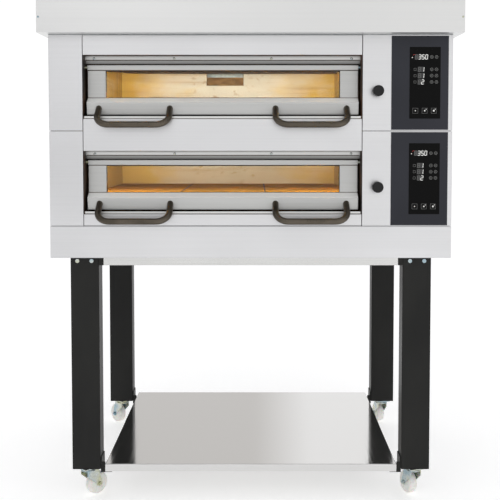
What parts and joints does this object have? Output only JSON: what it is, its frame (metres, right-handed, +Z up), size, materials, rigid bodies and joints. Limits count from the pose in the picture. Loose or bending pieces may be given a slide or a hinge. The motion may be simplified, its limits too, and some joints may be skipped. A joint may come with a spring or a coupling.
{
  "type": "deck pizza oven",
  "caption": "Floor-standing electric pizza oven with stacked baking decks, top-hinged glass doors, push-pull dampers and a caster stand with a shelf.",
  "frame": {"origin": "on the floor, at the middle of the overall box", "axes": "+Z up, the doors face -Y, and +X runs to the right for someone facing the doors"},
  "size_m": [1.446, 1.0864, 1.8015],
  "materials": {
    "casing_steel": "satin",
    "hood_steel": "satin",
    "door_steel": "satin",
    "shelf_steel": "polished",
    "rail_steel": "satin",
    "trim_steel": "satin",
    "duct_steel": "satin",
    "leg_black": "matte",
    "zinc": "satin",
    "nylon": "matte",
    "recess_dark": "matte",
    "chamber_steel": "satin",
    "hearth_stone": "matte",
    "element_steel": "matte",
    "mineral_wool": "matte",
    "seal_rope": "matte",
    "window_glass": "gloss",
    "handle_steel": "satin",
    "knob_black": "satin",
    "panel_charcoal": "satin",
    "display_black": "gloss",
    "board_green": "matte",
    "gear_grey": "matte",
    "lamp_glass": "gloss"
  },
  "bodies": {
    "oven": {"legs_front": "leg_black", "legs_rear": "leg_black", "crossbars": "rail_steel", "side_rails": "leg_black", "stand_brackets": "leg_black", "lower_shelf": "shelf_steel", "stand_bolts": "zinc", "caster_plates": "zinc", "plinth": "casing_steel", "hood": "hood_steel", "flue_spigot": "duct_steel", "roof_cover": "duct_steel", "side_panel_left": "casing_steel", "side_panel_right": "casing_steel", "back_panel": "casing_steel", "fascia_top": "casing_steel", "fascia_middle": "casing_steel", "fascia_bottom": "casing_steel", "left_columns": "casing_steel", "right_columns": "casing_steel", "exhaust_duct": "duct_steel", "cable_gland": "gear_grey", "electrical_partition": "duct_steel", "contactor_plate": "gear_grey", "controller_boards": "board_green", "hinge_pins": "zinc", "thermocouples": "duct_steel", "chamber_lamps": "lamp_glass", "door_seals": "seal_rope", "recess_trims": "trim_steel", "lower_recess_liner": "recess_dark", "lower_chamber": "chamber_steel", "lower_insulation": "mineral_wool", "lower_stones": "hearth_stone", "lower_elements": "element_steel", "lower_control_panel": "panel_charcoal", "lower_display": "display_black", "upper_recess_liner": "recess_dark", "upper_chamber": "chamber_steel", "upper_insulation": "mineral_wool", "upper_stones": "hearth_stone", "upper_elements": "element_steel", "upper_control_panel": "panel_charcoal", "upper_display": "display_black"},
    "lower_door": {"lower_door_frame": "door_steel", "lower_door_glass": "window_glass", "lower_door_handles": "handle_steel"},
    "lower_damper": {"lower_damper": "knob_black"},
    "upper_door": {"upper_door_frame": "door_steel", "upper_door_glass": "window_glass", "upper_door_handles": "handle_steel"},
    "upper_damper": {"upper_damper": "knob_black"},
    "caster_fork_fl": {"caster_fork_fl": "zinc"},
    "caster_wheel_fl": {"caster_wheel_fl": "nylon"},
    "caster_fork_fr": {"caster_fork_fr": "zinc"},
    "caster_wheel_fr": {"caster_wheel_fr": "nylon"},
    "caster_fork_rl": {"caster_fork_rl": "zinc"},
    "caster_wheel_rl": {"caster_wheel_rl": "nylon"},
    "caster_fork_rr": {"caster_fork_rr": "zinc"},
    "caster_wheel_rr": {"caster_wheel_rr": "nylon"}
  },
  "joints": [
    {"name": "lower_door_hinge", "type": "hinge", "parent": "oven", "child": "lower_door", "pos_m": [-0.097, -0.43878, 1.204], "axis": [-1, 0, 0], "range_deg": [0, 80]},
    {"name": "lower_damper_slide", "type": "slide", "parent": "oven", "child": "lower_damper", "axis": [0, -1, 0], "range_m": [0, 0.05]},
    {"name": "upper_door_hinge", "type": "hinge", "parent": "oven", "child": "upper_door", "pos_m": [-0.097, -0.43878, 1.534], "axis": [-1, 0, 0], "range_deg": [0, 80]},
    {"name": "upper_damper_slide", "type": "slide", "parent": "oven", "child": "upper_damper", "axis": [0, -1, 0], "range_m": [0, 0.05]},
    {"name": "caster_swivel_fl", "type": "hinge", "parent": "oven", "child": "caster_fork_fl", "pos_m": [-0.585, -0.40778, 0.097], "axis": [0, 0, 1], "continuous": true},
    {"name": "caster_roll_fl", "type": "hinge", "parent": "caster_fork_fl", "child": "caster_wheel_fl", "pos_m": [-0.56158, -0.38177, 0.04], "axis": [-0.7431, 0.6691, 0], "continuous": true},
    {"name": "caster_swivel_fr", "type": "hinge", "parent": "oven", "child": "caster_fork_fr", "pos_m": [0.585, -0.40778, 0.097], "axis": [0, 0, 1], "continuous": true},
    {"name": "caster_roll_fr", "type": "hinge", "parent": "caster_fork_fr", "child": "caster_wheel_fr", "pos_m": [0.57303, -0.37489, 0.04], "axis": [-0.9397, -0.342, 0], "continuous": true},
    {"name": "caster_swivel_rl", "type": "hinge", "parent": "oven", "child": "caster_fork_rl", "pos_m": [-0.585, 0.37622, 0.097], "axis": [0, 0, 1], "continuous": true},
    {"name": "caster_roll_rl", "type": "hinge", "parent": "caster_fork_rl", "child": "caster_wheel_rl", "pos_m": [-0.60975, 0.40097, 0.04], "axis": [-0.7071, -0.7071, 0], "continuous": true},
    {"name": "caster_swivel_rr", "type": "hinge", "parent": "oven", "child": "caster_fork_rr", "pos_m": [0.585, 0.37622, 0.097], "axis": [0, 0, 1], "continuous": true},
    {"name": "caster_roll_rr", "type": "hinge", "parent": "caster_fork_rr", "child": "caster_wheel_rr", "pos_m": [0.57713, 0.41033, 0.04], "axis": [-0.9744, -0.225, 0], "continuous": true}
  ]
}
